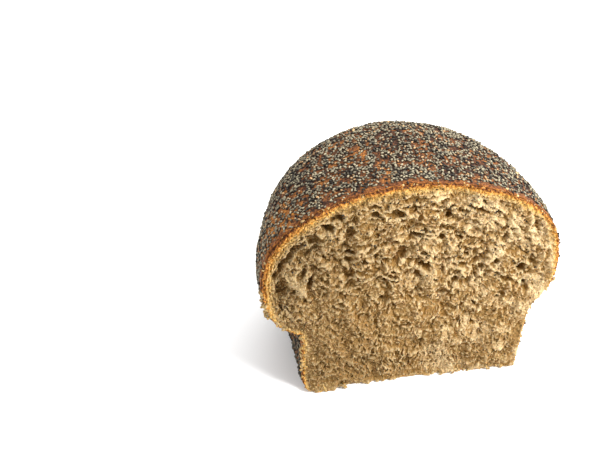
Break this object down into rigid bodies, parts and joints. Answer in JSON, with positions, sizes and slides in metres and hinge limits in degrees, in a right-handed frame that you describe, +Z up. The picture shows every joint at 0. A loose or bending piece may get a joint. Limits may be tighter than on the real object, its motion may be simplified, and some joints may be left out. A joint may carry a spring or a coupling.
{
  "type": "bread loaf",
  "caption": "End piece of a tin loaf cut across, with a domed top that overhangs the base, a seeded crust, an open crumb on the flat cut face and a flat bottom to rest on.",
  "frame": {"origin": "middle of the loaf's bounding box, on the floor it rests on", "axes": "+X across the loaf to the right seen from the cut face, +Y from the cut face to the baked end, +Z up"},
  "size_m": [0.1178, 0.076, 0.092],
  "materials": {
    "crust": "dry baked crust, reddish brown with orange patches",
    "crumb": "open wholemeal crumb, matte and slightly see-through at thin edges",
    "poppy_seed": "dark slate-blue seed with a faint sheen"
  },
  "bodies": {
    "root": {"loaf": "crust"}
  },
  "joints": []
}
